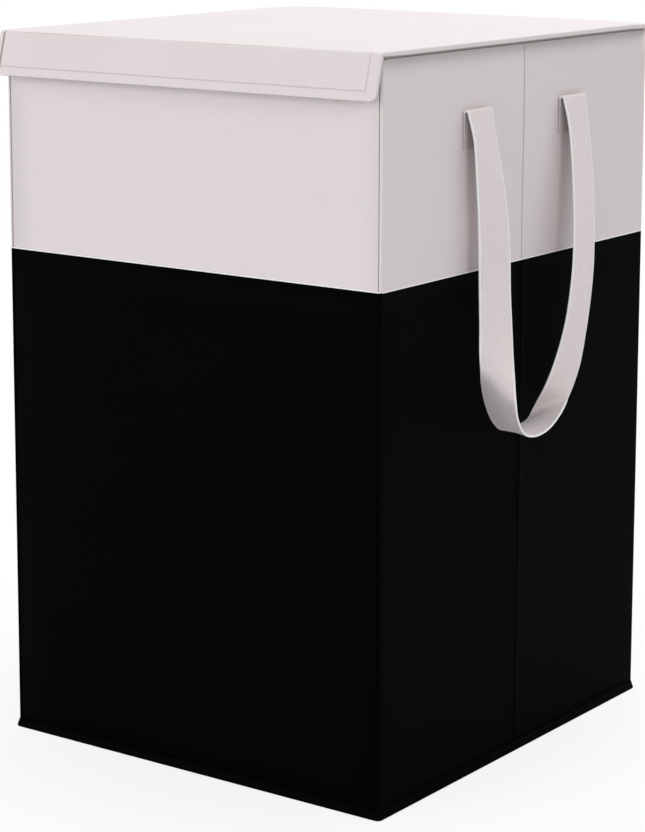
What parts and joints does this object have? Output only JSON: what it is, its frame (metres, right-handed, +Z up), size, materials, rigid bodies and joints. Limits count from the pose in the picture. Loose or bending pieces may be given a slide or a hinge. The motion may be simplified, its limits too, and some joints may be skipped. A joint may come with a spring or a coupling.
{
  "type": "laundry hamper",
  "caption": "Tall cloth-covered laundry hamper with a hinged lid and front flap, a divider between a front and a rear bin, lift-out liner bags and a webbing handle on each side.",
  "frame": {"origin": "centre of the underside, on the floor", "axes": "+Z up from the floor to the lid, -Y towards the side that the lid's flap hangs on, +X towards the carrying handle at the right of that side"},
  "size_m": [0.4966, 0.4497, 0.6456],
  "materials": {
    "pale_cloth": "matt warm greyish-pink polyester cloth with a fine plain weave",
    "dark_cloth": "black polyester cloth, smooth with a faint soft sheen",
    "inner_cloth": "thin matt grey lining cloth",
    "bag_cloth": "soft off-white liner cloth",
    "handle_webbing": "twill webbing with light selvedges",
    "inner_webbing": "flat grey webbing",
    "board": "plain grey-brown stiffener board",
    "hook_and_loop": "matt hook-and-loop strip"
  },
  "bodies": {
    "hamper_body": {"lower_cover": "dark_cloth", "upper_cover": "pale_cloth", "lining": "inner_cloth", "rim_binding": "pale_cloth", "bottom_cloth": "dark_cloth", "bottom_binding": "dark_cloth", "front_board": "board", "back_board": "board", "right_front_board": "board", "right_rear_board": "board", "left_front_board": "board", "left_rear_board": "board", "base_board": "inner_cloth", "divider_board": "board", "divider_cover": "inner_cloth", "divider_strip_right": "hook_and_loop", "divider_strip_left": "hook_and_loop", "front_bag": "bag_cloth", "front_bag_hem": "inner_cloth", "rear_bag": "bag_cloth", "rear_bag_hem": "inner_cloth", "lid_hinge_tape": "pale_cloth", "handle_right_front_patch": "handle_webbing", "handle_right_rear_patch": "handle_webbing", "handle_left_front_patch": "handle_webbing", "handle_left_rear_patch": "handle_webbing"},
    "lid": {"lid_board": "board", "lid_cover": "pale_cloth", "lid_lining": "inner_cloth"},
    "flap": {"flap_board": "board", "flap_cover": "pale_cloth", "flap_lining": "inner_cloth"},
    "handle_right": {"handle_right": "handle_webbing"},
    "handle_left": {"handle_left": "handle_webbing"},
    "front_bag_handle_front": {"front_bag_handle_front": "inner_webbing"},
    "front_bag_handle_rear": {"front_bag_handle_rear": "inner_webbing"},
    "rear_bag_handle_front": {"rear_bag_handle_front": "inner_webbing"},
    "rear_bag_handle_rear": {"rear_bag_handle_rear": "inner_webbing"}
  },
  "joints": [
    {"name": "lid_hinge", "type": "hinge", "parent": "hamper_body", "child": "lid", "pos_m": [0, 0.2174, 0.6453], "axis": [-1, 0, 0], "range_deg": [0, 260]},
    {"name": "flap_fold", "type": "hinge", "parent": "lid", "child": "flap", "pos_m": [0, -0.217, 0.6453], "axis": [-1, 0, 0], "range_deg": [0, 165]},
    {"name": "handle_right_swing", "type": "hinge", "parent": "hamper_body", "child": "handle_right", "pos_m": [0.2049, -0.001, 0.5875], "axis": [0, -1, 0], "range_deg": [0, 140]},
    {"name": "handle_left_swing", "type": "hinge", "parent": "hamper_body", "child": "handle_left", "pos_m": [-0.2049, -0.001, 0.5875], "axis": [0, 1, 0], "range_deg": [0, 140]},
    {"name": "front_bag_front_swing", "type": "hinge", "parent": "hamper_body", "child": "front_bag_handle_front", "pos_m": [0, -0.20555, 0.599], "axis": [1, 0, 0], "range_deg": [0, 110]},
    {"name": "front_bag_rear_swing", "type": "hinge", "parent": "hamper_body", "child": "front_bag_handle_rear", "pos_m": [0, -0.00745, 0.599], "axis": [-1, 0, 0], "range_deg": [0, 110]},
    {"name": "rear_bag_front_swing", "type": "hinge", "parent": "hamper_body", "child": "rear_bag_handle_front", "pos_m": [0, 0.00745, 0.599], "axis": [1, 0, 0], "range_deg": [0, 110]},
    {"name": "rear_bag_rear_swing", "type": "hinge", "parent": "hamper_body", "child": "rear_bag_handle_rear", "pos_m": [0, 0.20555, 0.599], "axis": [-1, 0, 0], "range_deg": [0, 110]}
  ]
}
